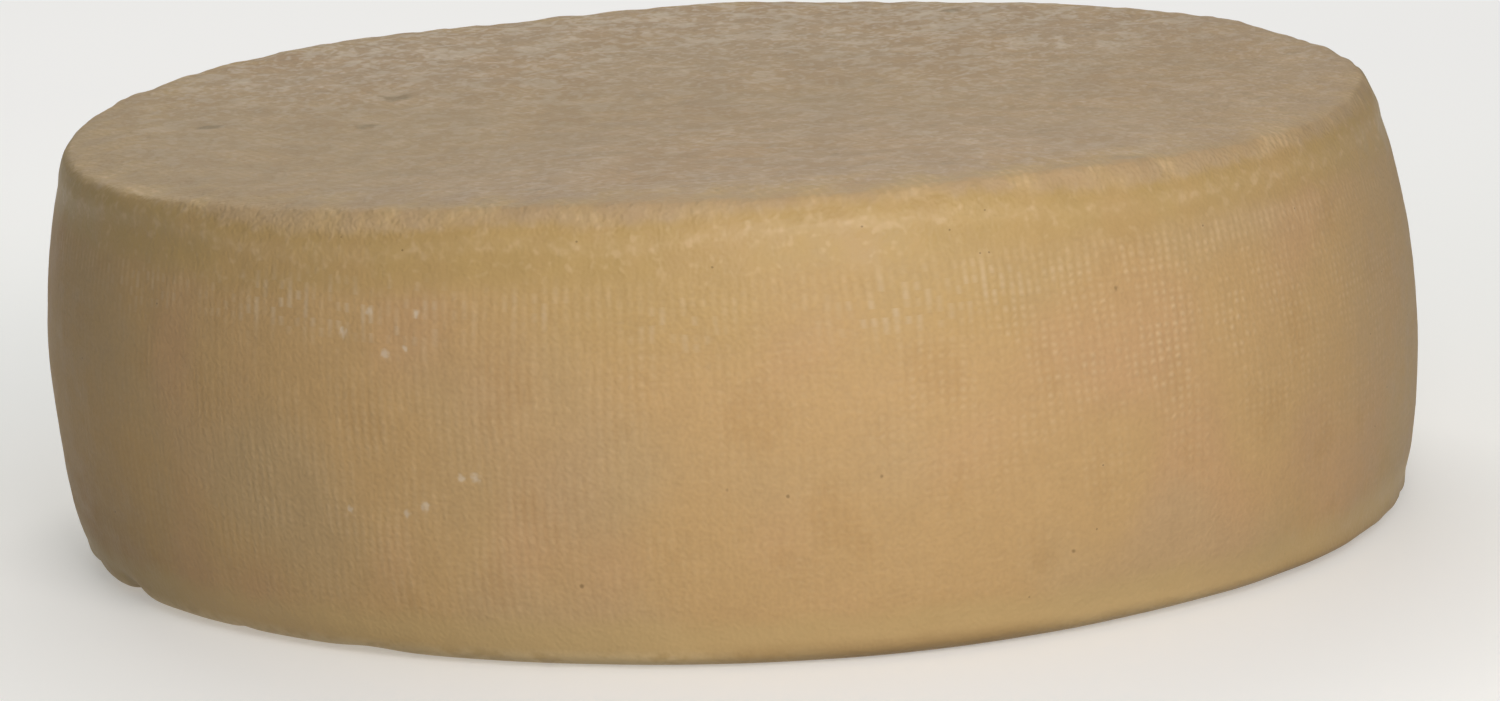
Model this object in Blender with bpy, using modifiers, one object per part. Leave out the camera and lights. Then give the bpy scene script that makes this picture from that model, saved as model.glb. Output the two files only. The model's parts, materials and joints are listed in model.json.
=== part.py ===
"""Cheese wheel: one whole, uncut wheel of pressed cheese, modelled as a single solid.

Units are metres and +Z is up. The origin is the middle of the underside, on the surface
that the wheel rests on. The front of the wheel faces -Y.
"""
import math

import bpy

# Driving dimensions
WHEEL_DIAMETER = 0.330
WHEEL_HEIGHT = 0.101

# The side is a barrel: widest at the belly, drawn in towards the top and the foot
BELLY_RADIUS = WHEEL_DIAMETER / 2
BELLY_HEIGHT = 0.46 * WHEEL_HEIGHT
TOP_DRAW_IN = 0.0085
FOOT_DRAW_IN = 0.0053

# The shoulder between side and top, and the foot between side and underside, are rounded.
# Their heights swing from -X to +X: the shoulder is softest at +X, the foot highest at -X.
SHOULDER_HEIGHT = 0.0073
SHOULDER_HEIGHT_SWING = 0.0045
SHOULDER_DEPTH = 0.0022
FOOT_HEIGHT = 0.0065
FOOT_HEIGHT_SWING = -0.0030
FOOT_DEPTH = 0.0075
LEAST_FOOT_DEPTH = 0.0025

# Slumping in the press: the top has shifted sideways, its middle has sunk a little, and
# outline, top edge and foot are uneven. Each wave is (waves per turn, size, phase).
TOP_SHIFT = -0.0027
TOP_SAG = 0.0012
OUTLINE_WAVES = ((2, 0.0004, 2.3), (3, 0.0003, 4.2), (5, 0.0003, 2.3), (9, 0.0002, 1.1))
TOP_EDGE_WAVES = ((1, 0.0010, 1.1), (2, 0.0014, 4.3), (3, 0.0008, 0.1), (7, 0.0003, 2.6))
FOOT_DEPTH_WAVES = ((1, 0.0025, 1.6), (2, 0.0020, 3.2), (3, 0.0040, 2.2))

# Mesh density
STEPS_AROUND = 96
BANDS_UP_THE_SIDE = 20
RINGS_ACROSS_THE_TOP = 4
RINGS_ACROSS_THE_UNDERSIDE = 2

MERGE_DISTANCE = 0.00005
CREASE_ANGLE = math.radians(50)

RIND_COLOUR = (0.50, 0.33, 0.16, 1.0)
RIND_ROUGHNESS = 0.62


def waves(angle, table):
    """Add up the waves of a table at an angle around the wheel."""
    return sum(size * math.sin(count * angle + phase) for count, size, phase in table)


def quarter_round(depth, distance, reach):
    """Inset of a rounded edge: nothing at its start, and the whole depth at its reach."""
    part = min(max(distance / reach, 0.0), 1.0)
    return depth * (1.0 - math.sqrt(1.0 - part * part))


def barrel_radius(height):
    """Radius of the plain barrel at a height, before its edges are rounded."""
    if height > BELLY_HEIGHT:
        part = (height - BELLY_HEIGHT) / (WHEEL_HEIGHT - BELLY_HEIGHT)
        return BELLY_RADIUS - TOP_DRAW_IN * part * part
    part = (BELLY_HEIGHT - height) / BELLY_HEIGHT
    return BELLY_RADIUS - FOOT_DRAW_IN * part * part


def side_radius(height, angle):
    """Radius of the finished side at a height and an angle."""
    shoulder_height = SHOULDER_HEIGHT + SHOULDER_HEIGHT_SWING * math.cos(angle)
    above_shoulder = height - (WHEEL_HEIGHT - shoulder_height)
    foot_height = FOOT_HEIGHT + FOOT_HEIGHT_SWING * math.cos(angle)
    foot_depth = max(FOOT_DEPTH + waves(angle, FOOT_DEPTH_WAVES), LEAST_FOOT_DEPTH)
    return (barrel_radius(height)
            + waves(angle, OUTLINE_WAVES)
            - quarter_round(SHOULDER_DEPTH, above_shoulder, shoulder_height)
            - quarter_round(foot_depth, foot_height - height, foot_height))


def blank_profile():
    """Points of the turned blank from the middle of its top, down its side, to its underside."""
    top_radius = barrel_radius(WHEEL_HEIGHT)
    foot_radius = barrel_radius(0.0)
    points = []
    for ring in range(RINGS_ACROSS_THE_TOP):
        points.append((top_radius * ring / RINGS_ACROSS_THE_TOP, WHEEL_HEIGHT))
    for band in range(BANDS_UP_THE_SIDE + 1):
        # The bands crowd together at both ends, where the edges are rounded
        height = WHEEL_HEIGHT * (1.0 + math.cos(math.pi * band / BANDS_UP_THE_SIDE)) / 2
        points.append((barrel_radius(height), height))
    for ring in reversed(range(RINGS_ACROSS_THE_UNDERSIDE)):
        points.append((foot_radius * ring / RINGS_ACROSS_THE_UNDERSIDE, 0.0))
    return points


def turned_blank(collection):
    """Turn the profile around the wheel's axis with a Screw modifier, and return its mesh."""
    points = blank_profile()
    outline = bpy.data.meshes.new("wheel_outline")
    outline.from_pydata([(radius, 0.0, height) for radius, height in points],
                        [(i, i + 1) for i in range(len(points) - 1)], [])
    lathe = bpy.data.objects.new("wheel_outline", outline)
    collection.objects.link(lathe)
    screw = lathe.modifiers.new("turn", "SCREW")
    screw.axis = "Z"
    screw.angle = 2 * math.pi
    screw.steps = STEPS_AROUND
    screw.render_steps = STEPS_AROUND
    screw.use_merge_vertices = True
    screw.merge_threshold = MERGE_DISTANCE
    view_layer = bpy.context.view_layer
    view_layer.update()
    blank = bpy.data.meshes.new_from_object(lathe.evaluated_get(view_layer.depsgraph))
    bpy.data.objects.remove(lathe)
    bpy.data.meshes.remove(outline)
    return blank


def press_uneven(blank):
    """Move the blank's points from the true barrel to the slumped, uneven wheel."""
    for vertex in blank.vertices:
        x, y, height = vertex.co
        angle = math.atan2(y, x)
        across = math.hypot(x, y) / barrel_radius(height)
        radius = across * side_radius(height, angle)
        lift = waves(angle, TOP_EDGE_WAVES) * across - TOP_SAG * (1.0 - across * across)
        up = height / WHEEL_HEIGHT
        vertex.co.x = radius * math.cos(angle) + TOP_SHIFT * up
        vertex.co.y = radius * math.sin(angle)
        vertex.co.z = height + lift * up


def centre_on_origin(mesh):
    """Put the middle of the mesh's outline over the origin."""
    for axis in (0, 1):
        places = [vertex.co[axis] for vertex in mesh.vertices]
        middle = (min(places) + max(places)) / 2
        for vertex in mesh.vertices:
            vertex.co[axis] -= middle


def rind_material():
    """The tan, slightly waxy rind."""
    material = bpy.data.materials.new("rind")
    material.use_nodes = True
    material.diffuse_color = RIND_COLOUR
    shader = material.node_tree.nodes["Principled BSDF"]
    shader.inputs["Base Color"].default_value = RIND_COLOUR
    shader.inputs["Roughness"].default_value = RIND_ROUGHNESS
    shader.inputs["Metallic"].default_value = 0.0
    return material


def cheese_wheel(collection):
    """The whole wheel, as one closed solid."""
    mesh = turned_blank(collection)
    mesh.name = "cheese_wheel"
    press_uneven(mesh)
    centre_on_origin(mesh)
    mesh.shade_smooth()
    mesh.set_sharp_from_angle(angle=CREASE_ANGLE)
    mesh.materials.clear()
    mesh.materials.append(rind_material())
    wheel = bpy.data.objects.new("cheese_wheel", mesh)
    collection.objects.link(wheel)
    return wheel


def main():
    """Clear the scene and build the wheel in its own collection."""
    for leftover in list(bpy.data.objects):
        bpy.data.objects.remove(leftover)
    collection = bpy.data.collections.new("Cheese wheel")
    bpy.context.scene.collection.children.link(collection)
    cheese_wheel(collection)


main()
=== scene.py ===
"""Looks of one whole, uncut cheese wheel: its rind modelled fine, dressed, lit and framed.

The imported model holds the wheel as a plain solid. Here a fine rind takes its place: the
same barrel with its shoulder, foot, cloth marks, creases and dents. Units are metres and
+Z is up. The front of the wheel faces -Y.
"""
from __future__ import annotations

import json
import logging
import math
from dataclasses import dataclass
from enum import Enum
from typing import Callable

import bmesh
import bpy
import numpy as np
from mathutils import Matrix, Vector

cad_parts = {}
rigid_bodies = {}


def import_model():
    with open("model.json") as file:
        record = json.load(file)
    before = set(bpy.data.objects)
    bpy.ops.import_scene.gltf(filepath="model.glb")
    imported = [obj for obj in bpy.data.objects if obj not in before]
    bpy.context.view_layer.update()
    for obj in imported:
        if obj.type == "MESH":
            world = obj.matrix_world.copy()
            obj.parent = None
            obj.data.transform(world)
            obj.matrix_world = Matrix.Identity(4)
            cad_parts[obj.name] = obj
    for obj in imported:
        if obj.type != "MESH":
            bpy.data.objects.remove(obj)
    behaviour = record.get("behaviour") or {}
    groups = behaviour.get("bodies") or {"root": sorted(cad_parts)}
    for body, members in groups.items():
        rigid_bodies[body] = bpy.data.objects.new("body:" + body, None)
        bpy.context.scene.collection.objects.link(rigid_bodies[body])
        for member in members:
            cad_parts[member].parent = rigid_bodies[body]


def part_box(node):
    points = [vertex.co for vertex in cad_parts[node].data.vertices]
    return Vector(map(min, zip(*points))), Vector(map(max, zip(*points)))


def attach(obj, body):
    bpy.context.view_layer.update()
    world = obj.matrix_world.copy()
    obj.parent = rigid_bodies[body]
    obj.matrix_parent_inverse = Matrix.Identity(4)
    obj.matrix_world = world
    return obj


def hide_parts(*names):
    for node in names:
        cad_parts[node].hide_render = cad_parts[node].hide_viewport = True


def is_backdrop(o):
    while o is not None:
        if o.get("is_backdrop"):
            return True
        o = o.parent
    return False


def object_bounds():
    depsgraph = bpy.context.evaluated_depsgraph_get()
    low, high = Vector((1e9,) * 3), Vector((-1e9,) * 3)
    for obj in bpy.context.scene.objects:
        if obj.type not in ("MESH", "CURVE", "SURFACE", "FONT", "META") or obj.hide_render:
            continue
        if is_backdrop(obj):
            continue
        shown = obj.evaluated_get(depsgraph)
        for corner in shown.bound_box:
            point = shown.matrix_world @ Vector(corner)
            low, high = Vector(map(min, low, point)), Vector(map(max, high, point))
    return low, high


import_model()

log = logging.getLogger("cheese_wheel")

TURN = 2 * math.pi
FRONT = -TURN / 4
MILLIMETRE = 0.001

Waves = tuple[tuple[int, float, float], ...]
Line = tuple[tuple[float, float], ...]


class Mark(Enum):
    """The masks that the rind's mesh carries for its finish, one number for each point."""

    TOP = "top_face"
    BAND = "shoulder_band"
    FOOT = "foot_band"
    CLOTH = "cloth_depth"
    # Depth of dents and creases, read for painted shade
    HOLLOW = "shaded_hollow"
    RUB = "rubbed"
    RIDGE = "shoulder_ridge"
    BROAD = "broad_clouds"
    WIDE = "wide_clouds"
    MIDDLING = "middling_clouds"


class Side(Enum):
    """Which way a lamp's direction is counted from: the wheel's front or its back."""

    FRONT = 0.0
    BACK = 180.0


# ---------------------------------------------------------------- shape of the wheel


def waves(angle: np.ndarray, table: Waves) -> np.ndarray:
    """Add up the waves of a table around the wheel.

    Args:
        angle: angles around the wheel's axis, in radians.
        table: waves as (waves per turn, size, phase).

    Returns:
        The sum of the waves at each angle.
    """
    return sum(size * np.sin(count * angle + phase) for count, size, phase in table)


def quarter_round(depth: float, distance: np.ndarray, reach: np.ndarray) -> np.ndarray:
    """Inset of a rounded edge.

    Args:
        depth: the whole inset.
        distance: how far past the start of the rounding each point is.
        reach: how long the rounding is.

    Returns:
        The inset: nothing at the rounding's start, and the whole depth at its reach.
    """
    part = np.clip(distance / reach, 0.0, 1.0)
    return depth * (1.0 - np.sqrt(1.0 - part * part))


def soft_step(low: float, high: float, value: np.ndarray) -> np.ndarray:
    """Rise smoothly from 0 at low to 1 at high.

    Args:
        low: where the step starts.
        high: where the step ends, which may lie below low for a falling step.
        value: the numbers to test.

    Returns:
        The height of the step at each number.
    """
    part = np.clip((value - low) / (high - low), 0.0, 1.0)
    return part * part * (3.0 - 2.0 * part)


def hump(distance: np.ndarray, width: float) -> np.ndarray:
    """A smooth hump, 1 in its middle and gone at about twice its width."""
    return np.exp(-((distance / width) ** 2))


def line_around(angle: np.ndarray, line: Line) -> np.ndarray:
    """Height of a wandering line around the wheel.

    Args:
        angle: angles around the wheel's axis, in radians.
        line: places on the line as (turn from the front in degrees, height).

    Returns:
        The line's height at each angle.
    """
    turns, heights = zip(*line)
    turn = np.degrees(angle - FRONT) + np.array([[-3.0], [0.0], [3.0]])
    return np.interp(turn, turns, heights, period=360.0).mean(0)


def turn_between(angle: np.ndarray, place: float | np.ndarray) -> np.ndarray:
    """The shorter turn from a place on the wheel to each angle, in radians."""
    return (angle - place + math.pi) % TURN - math.pi


def polar(places: np.ndarray) -> tuple[np.ndarray, np.ndarray]:
    """How far each point lies from the wheel's axis, and at which angle around it."""
    return np.hypot(places[:, 0], places[:, 1]), np.arctan2(places[:, 1], places[:, 0])


@dataclass(frozen=True)
class Barrel:
    """The wheel's outline, from its height and its width across the belly.

    The side is a barrel. Its shoulder and foot are rounded, and both are uneven.
    """

    width: float
    height: float
    belly_share: float = 0.46
    top_draw_in: float = 0.0085
    foot_draw_in: float = 0.0053
    shoulder_height: float = 0.0073
    shoulder_swing: float = 0.0045
    shoulder_depth: float = 0.0022
    foot_height: float = 0.0065
    foot_swing: float = -0.0030
    foot_depth: float = 0.0075
    least_foot_depth: float = 0.0025
    top_shift: float = -0.0027
    top_sag: float = 0.0012
    outline: Waves = ((2, 0.0004, 2.3), (3, 0.0003, 4.2), (5, 0.0003, 2.3), (9, 0.0002, 1.1))
    top_edge: Waves = ((1, 0.0010, 1.1), (2, 0.0014, 4.3), (3, 0.0008, 0.1), (7, 0.0003, 2.6))
    foot: Waves = ((1, 0.0025, 1.6), (2, 0.0020, 3.2), (3, 0.0040, 2.2))
    width_step: float = 0.005
    uneven_rise: float = 0.0016

    @classmethod
    def from_box(cls, low: Vector, high: Vector) -> Barrel:
        """Take the even barrel's width and height from the uneven wheel's box.

        Args:
            low: the box's lowest corner.
            high: the box's highest corner.

        Returns:
            The barrel, its width rounded to the half centimetre and its height to the millimetre.
        """
        width = round((high.x - low.x) / cls.width_step) * cls.width_step
        height = round((high.z - low.z - cls.uneven_rise) / MILLIMETRE) * MILLIMETRE
        return cls(width, height)

    def plain_radius(self, height: np.ndarray) -> np.ndarray:
        """Radius of the barrel at a height, before its edges are rounded."""
        belly = self.belly_share * self.height
        above = np.clip((height - belly) / (self.height - belly), 0.0, None)
        below = np.clip((belly - height) / belly, 0.0, None)
        return self.width / 2 - self.top_draw_in * above**2 - self.foot_draw_in * below**2

    def even_radius(self, height: np.ndarray) -> np.ndarray:
        """Radius of the turned blank at a height, with evenly rounded edges."""
        above_shoulder = height - (self.height - self.shoulder_height)
        return (self.plain_radius(height)
                - quarter_round(self.shoulder_depth, above_shoulder, self.shoulder_height)
                - quarter_round(self.foot_depth, self.foot_height - height, self.foot_height))

    def side_radius(self, height: np.ndarray, angle: np.ndarray) -> np.ndarray:
        """Radius of the uneven wheel at a height and an angle."""
        shoulder = self.shoulder_height + self.shoulder_swing * np.cos(angle)
        foot_height = self.foot_height + self.foot_swing * np.cos(angle)
        foot_depth = np.maximum(self.foot_depth + waves(angle, self.foot), self.least_foot_depth)
        return (self.plain_radius(height)
                + waves(angle, self.outline)
                - quarter_round(self.shoulder_depth, height - (self.height - shoulder), shoulder)
                - quarter_round(foot_depth, foot_height - height, foot_height))

    def ring_heights(self, edge_bands: int, side_bands: int) -> np.ndarray:
        """Heights of the blank's rings from the underside up, closer where edges are rounded.

        Args:
            edge_bands: bands of faces over the foot, and over the shoulder.
            side_bands: bands of faces over the side between them.

        Returns:
            The rings' heights.
        """
        bend = np.linspace(0.0, TURN / 4, edge_bands + 1)
        foot = self.foot_height * (1.0 - np.cos(bend))
        shoulder = self.height - self.shoulder_height * (1.0 - np.sin(bend))
        side = np.linspace(foot[-1], shoulder[0], side_bands + 1)
        return np.concatenate([foot, side[1:-1], shoulder])


@dataclass(frozen=True)
class Patch:
    """A soft patch of the side: a dent, clear cloth marks or rubbed dashes.

    A dent's strength is its depth in metres, and a lump's is below 0. Turns are in degrees.
    """

    turn_from_front: float
    height: float
    width: float
    tall: float
    strength: float

    def over(self, angle: np.ndarray, height: np.ndarray | float, girth: float) -> np.ndarray:
        """The patch's strength at some points.

        Args:
            angle: the points' angles around the wheel.
            height: their heights.
            girth: the wheel's radius.

        Returns:
            The strength at each point, gone at about twice the patch's size.
        """
        across = turn_between(angle, FRONT + math.radians(self.turn_from_front)) * girth
        return self.strength * hump(across, self.width) * hump(height - self.height, self.tall)


Limits = tuple[float, float]


@dataclass(frozen=True)
class Scatter:
    """How many seeded patches there are, and between which limits each of their numbers lies."""

    turns: Limits
    heights: Limits
    widths: Limits
    talls: Limits
    strengths: Limits
    count: int = 1

    def drawn(self, draw: np.random.Generator, turned: float = 0.0) -> list[Patch]:
        """Draw the patches.

        Args:
            draw: the seeded source of the numbers.
            turned: how far the patches are turned on around the wheel, in degrees.

        Returns:
            The patches.
        """
        return [Patch(turned + draw.uniform(*self.turns), draw.uniform(*self.heights),
                      draw.uniform(*self.widths), draw.uniform(*self.talls),
                      draw.uniform(*self.strengths)) for _ in range(self.count)]


@dataclass(frozen=True)
class Drift:
    """A slow cloudy pattern through space, made of many plane waves and centred on one half."""

    size: float
    layers: int
    spread: float
    seed: int
    fading: float = 0.6
    plane_waves: int = 18
    crowding: float = 0.6

    def over(self, places: np.ndarray) -> np.ndarray:
        """The pattern at some points.

        Args:
            places: the points.

        Returns:
            Its value at each point.
        """
        draw = np.random.default_rng(self.seed)
        total = np.zeros(len(places))
        power = 0.0
        for layer in range(self.layers):
            strength = self.fading**layer
            ways = draw.normal(size=(self.plane_waves, 3))
            pace = TURN * self.crowding * 2.0**layer / self.size
            pace = pace * draw.uniform(0.6, 1.4, self.plane_waves)
            ways *= (pace / np.linalg.norm(ways, axis=1))[:, None]
            phases = draw.uniform(0.0, TURN, self.plane_waves)
            total += strength * np.cos(places @ ways.T + phases).sum(axis=1)
            power += strength**2 * self.plane_waves / 2
        return 0.5 + self.spread * total / math.sqrt(power)


def deselect_everything() -> None:
    """Leave nothing selected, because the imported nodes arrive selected."""
    if bpy.context.object and bpy.context.object.mode != "OBJECT":
        bpy.ops.object.mode_set(mode="OBJECT")
    for thing in bpy.context.view_layer.objects:
        thing.select_set(False)


def select_points(piece: bpy.types.Object, wanted: Callable[[Vector], bool]) -> None:
    """Select the points of the piece in edit mode whose place is wanted, and no others."""
    mesh = bmesh.from_edit_mesh(piece.data)
    for point in mesh.verts:
        point.select = bool(wanted(point.co))
    mesh.select_flush(True)
    mesh.select_flush(False)
    bmesh.update_edit_mesh(piece.data)


@dataclass
class Rind:
    """The whole outside of the wheel as one closed mesh."""

    barrel: Barrel
    cage_sides: int = 144
    edge_bands: int = 4
    side_bands: int = 10
    rim_rings: int = 2
    rim_ring_width: float = 0.0070
    subdivisions: int = 2
    seed: int = 11

    # How the top's rim is softened
    rim_start: float = 0.88
    rim_drop: float = 0.0010
    rim_lift: float = 0.0009
    rim_rounds: int = 14
    high_corner: Patch = Patch(86.0, 0.101, 0.045, 0.006, -0.0011)

    # Where the finish changes, as (turn from the front, height up the wheel)
    band_low: Line = ((-70.0, 0.0880), (-45.0, 0.0845), (-20.0, 0.0868), (0.0, 0.0892),
                      (20.0, 0.0905), (55.0, 0.0900), (110.0, 0.0870), (160.0, 0.0850),
                      (200.0, 0.0880), (245.0, 0.0865))
    band_high: Line = ((-68.0, 0.0967), (-54.0, 0.0980), (-40.0, 0.0946), (-30.0, 0.0952),
                       (-18.0, 0.0990), (-9.0, 0.0972), (4.0, 0.1006), (20.0, 0.1002),
                       (32.0, 0.0968), (60.0, 0.0972), (95.0, 0.0990), (130.0, 0.0962),
                       (165.0, 0.0985), (205.0, 0.0955), (250.0, 0.0988))
    ridge_below: float = 0.0042
    foot_band: float = 0.0120

    dents: tuple[Patch, ...] = (
        Patch(-63.5, 0.000, 0.0060, 0.0045, 0.0031),
        Patch(-74.0, 0.001, 0.0080, 0.0040, 0.0012),
        Patch(-47.0, 0.000, 0.0030, 0.0020, 0.0006),
        Patch(-33.0, 0.000, 0.0080, 0.0024, 0.0007),
        Patch(24.0, 0.060, 0.0300, 0.0200, 0.0005),
        Patch(-20.0, 0.038, 0.0260, 0.0180, 0.0005),
    )
    cloth: tuple[Patch, ...] = (
        Patch(36.0, 0.072, 0.050, 0.018, 0.80),
        Patch(30.0, 0.052, 0.045, 0.016, 0.40),
        Patch(-26.0, 0.045, 0.060, 0.034, 0.46),
        Patch(-38.0, 0.030, 0.050, 0.022, 0.30),
        Patch(62.0, 0.058, 0.034, 0.022, 0.42),
        Patch(-9.0, 0.070, 0.030, 0.012, 0.25),
    )
    rubs: tuple[Patch, ...] = (
        Patch(-38.0, 0.080, 0.022, 0.0060, 1.00),
        Patch(-27.0, 0.078, 0.018, 0.0065, 0.90),
        Patch(-15.0, 0.081, 0.006, 0.0040, 0.80),
        Patch(-4.0, 0.076, 0.009, 0.0050, 0.80),
        Patch(12.0, 0.078, 0.013, 0.0060, 1.00),
        Patch(20.0, 0.080, 0.016, 0.0050, 0.60),
        Patch(-55.0, 0.078, 0.016, 0.0070, 0.60),
    )

    # What is seeded: dents all round, and patches round the back, one at every few degrees
    more_dents: Scatter = Scatter((-180.0, 180.0), (0.012, 0.085), (0.002, 0.006), (0.002, 0.005),
                                  (-0.00015, 0.00030), 60)
    more_foot_dents: Scatter = Scatter((60.0, 300.0), (0.0, 0.002), (0.003, 0.010),
                                       (0.0015, 0.004), (-0.0004, 0.0012), 26)
    more_cloth: Scatter = Scatter((-6.0, 6.0), (0.035, 0.070), (0.012, 0.045), (0.014, 0.032),
                                  (0.25, 0.80))
    more_rubs: Scatter = Scatter((-6.0, 6.0), (0.074, 0.082), (0.012, 0.045), (0.004, 0.007),
                                 (0.25, 0.80))
    back_turns: range = range(90, 290, 16)
    dimples: int = 70
    dimple_depths: Limits = (-0.0004, 0.0003)
    dimple_widths: Limits = (0.004, 0.014)

    # Slumps, lumps and grain, as (name, size, depth, where they are)
    swells: tuple[tuple[str, float, float, str], ...] = (
        ("slumps", 0.060, 0.0016, "free"),
        ("lumps", 0.022, 0.0006, "free"),
        ("grain", 0.006, 0.00020, "free"),
        ("crust", 0.0075, 0.00090, "crust"),
    )

    # Folds around the wheel, each with its width: along the shoulder's ridge and over the foot
    ridge_rise: float = 0.00030
    ridge_width: float = 0.0020
    crease_depth: float = 0.00022
    crease_width: float = 0.0026
    crease_below_ridge: float = 0.0040
    lip_rise: float = 0.00045
    lip_width: float = 0.0018
    lip_height: float = 0.0026
    groove_depth: float = 0.00030
    groove_width: float = 0.0030
    groove_height: float = 0.0075

    drifts: tuple[tuple[Mark, Drift], ...] = (
        (Mark.BROAD, Drift(0.036, 2, 0.095, 3)),
        (Mark.WIDE, Drift(0.046, 2, 0.095, 4)),
        (Mark.MIDDLING, Drift(0.012, 3, 0.085, 5)),
    )

    def build(self) -> bpy.types.Object:
        """Model the rind and lay its masks and its unwrapping on it.

        Returns:
            The finished, undressed piece.
        """
        piece = self.turned_blank()
        self.lay_out(piece)
        self.press_uneven(piece)
        self.soften_rim(piece)
        self.add_slumps(piece)
        push = self.add_creases(piece)
        self.add_masks(piece, push)
        piece.data.shade_smooth()
        return piece

    # The blank, modelled as a turned barrel

    def turned_blank(self) -> bpy.types.Object:
        """Model the even barrel: a tube cut into rings, set to the outline and closed."""
        barrel = self.barrel
        deselect_everything()
        bpy.ops.mesh.primitive_cylinder_add(vertices=self.cage_sides, radius=barrel.width / 2,
                                            depth=barrel.height, end_fill_type="NOTHING",
                                            location=(0, 0, barrel.height / 2))
        piece = bpy.context.object
        piece.name = "cheese_wheel_rind"
        piece.data.name = "cheese_wheel_rind"
        bpy.ops.object.transform_apply(location=True, rotation=True, scale=True)
        bpy.ops.object.mode_set(mode="EDIT")
        self.cut_rings(piece)
        self.set_rings(piece)
        self.close_end(piece, barrel.height, self.rim_rings)
        self.close_end(piece, 0.0, 1)
        bpy.ops.mesh.select_all(action="SELECT")
        bpy.ops.mesh.normals_make_consistent(inside=False)
        bpy.ops.object.mode_set(mode="OBJECT")
        smooth = piece.modifiers.new("smooth", "SUBSURF")
        smooth.levels = self.subdivisions
        smooth.render_levels = self.subdivisions
        smooth.use_limit_surface = False
        bpy.ops.object.modifier_apply(modifier=smooth.name)
        return piece

    def cut_rings(self, piece: bpy.types.Object) -> None:
        """Cut the tube's side into bands."""
        mesh = bmesh.from_edit_mesh(piece.data)
        for edge in mesh.edges:
            upright = abs(edge.verts[0].co.z - edge.verts[1].co.z) > self.barrel.height / 2
            edge.select_set(upright)
        bmesh.update_edit_mesh(piece.data)
        bands = 2 * self.edge_bands + self.side_bands
        bpy.ops.mesh.subdivide(number_cuts=bands - 1)

    def set_rings(self, piece: bpy.types.Object) -> None:
        """Move each ring to its height and size it to the outline."""
        barrel = self.barrel
        heights = barrel.ring_heights(self.edge_bands, self.side_bands)
        even = np.linspace(0.0, barrel.height, len(heights))
        half_band = (even[1] - even[0]) / 2
        # Rings move towards the nearer end, so each half is set from its end inwards
        middle = len(heights) // 2
        order = list(range(middle)) + list(reversed(range(middle, len(heights))))
        for ring in order:
            now, wanted = float(even[ring]), float(heights[ring])
            grown = float(barrel.even_radius(wanted)) / (barrel.width / 2)
            full = barrel.width / 2 * 0.99999

            def on_ring(place: Vector) -> bool:
                return abs(place.z - now) < half_band and math.hypot(place.x, place.y) > full

            select_points(piece, on_ring)
            bpy.ops.transform.resize(value=(grown, grown, 1.0), center_override=(0, 0, now))
            bpy.ops.transform.translate(value=(0, 0, wanted - now))

    def close_end(self, piece: bpy.types.Object, height: float, rings: int) -> None:
        """Close one end: a few rings inwards from its edge, and an even grid inside them.

        Args:
            piece: the tube, in edit mode.
            height: the height of the open end.
            rings: how many rings lie around the grid.
        """
        select_points(piece, lambda place: abs(place.z - height) < MILLIMETRE / 100)
        radius = float(self.barrel.even_radius(height))
        for _ in range(rings):
            shrunk = (radius - self.rim_ring_width) / radius
            bpy.ops.mesh.extrude_region_move()
            bpy.ops.transform.resize(value=(shrunk, shrunk, 1.0), center_override=(0, 0, height))
            radius -= self.rim_ring_width
        bpy.ops.mesh.fill_grid(span=self.cage_sides // 4, offset=0)

    # The unwrapping

    def lay_out(self, piece: bpy.types.Object) -> None:
        """Unwrap the even blank: the side in three strips, and both round faces beside them."""
        mesh = piece.data
        places = points_of(mesh)
        radius, angle = polar(places)
        around = self.distance_down(radius, places[:, 2])
        corner_point = numbers(mesh.loops, "vertex_index", np.int32)
        first = numbers(mesh.polygons, "loop_start", np.int32)
        count = numbers(mesh.polygons, "loop_total", np.int32)
        face = np.repeat(np.arange(len(first)), count)
        middle = np.add.reduceat(places[corner_point], first) / count[:, None]
        face_angle = np.arctan2(middle[:, 1], middle[:, 0])[face]
        corner_angle = face_angle + turn_between(angle[corner_point], face_angle)
        side_start, side_end, whole = self.side_stretch()
        along = around[corner_point]
        face_along = (np.add.reduceat(along, first) / count)[face]
        sheet = UnwrapSheet(self.barrel.width, side_start, side_end, whole)
        spots = sheet.spots(along, face_along, corner_angle, face_angle)
        layer = mesh.uv_layers.new(name="OFBake")
        for other in [other for other in mesh.uv_layers if other.name != layer.name]:
            mesh.uv_layers.remove(other)
        layer = mesh.uv_layers["OFBake"]
        layer.uv.foreach_set("vector", spots.astype(np.float32).ravel())

    def outline_line(self) -> tuple[np.ndarray, np.ndarray]:
        """Points of the even outline from the top's middle, down the side, to the underside's.

        Returns:
            The points as (radius, height), and the distance along the outline to each.
        """
        barrel = self.barrel
        heights = barrel.height * (1.0 + np.cos(np.linspace(0.0, math.pi, 400))) / 2
        side = np.stack([barrel.even_radius(heights), heights], 1)
        out = np.linspace(0.0, 1.0, 400)[:-1, None]
        top = out * [[side[0, 0], 0.0]] + [[0.0, barrel.height]]
        underside = (1.0 - out) * [[side[-1, 0], 0.0]]
        line = np.concatenate([top, side, underside[1:], [[0.0, 0.0]]])
        steps = np.linalg.norm(np.diff(line, axis=0), axis=1)
        return line, np.concatenate([[0.0], np.cumsum(steps)])

    def distance_down(self, radius: np.ndarray, height: np.ndarray) -> np.ndarray:
        """Distance over the surface from the top's middle to each point of the blank."""
        line, far = self.outline_line()
        half = self.barrel.height / 2
        bearing = np.arctan2(line[:, 1] - half, line[:, 0])
        return np.interp(-np.arctan2(height - half, radius), -bearing, far)

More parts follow.
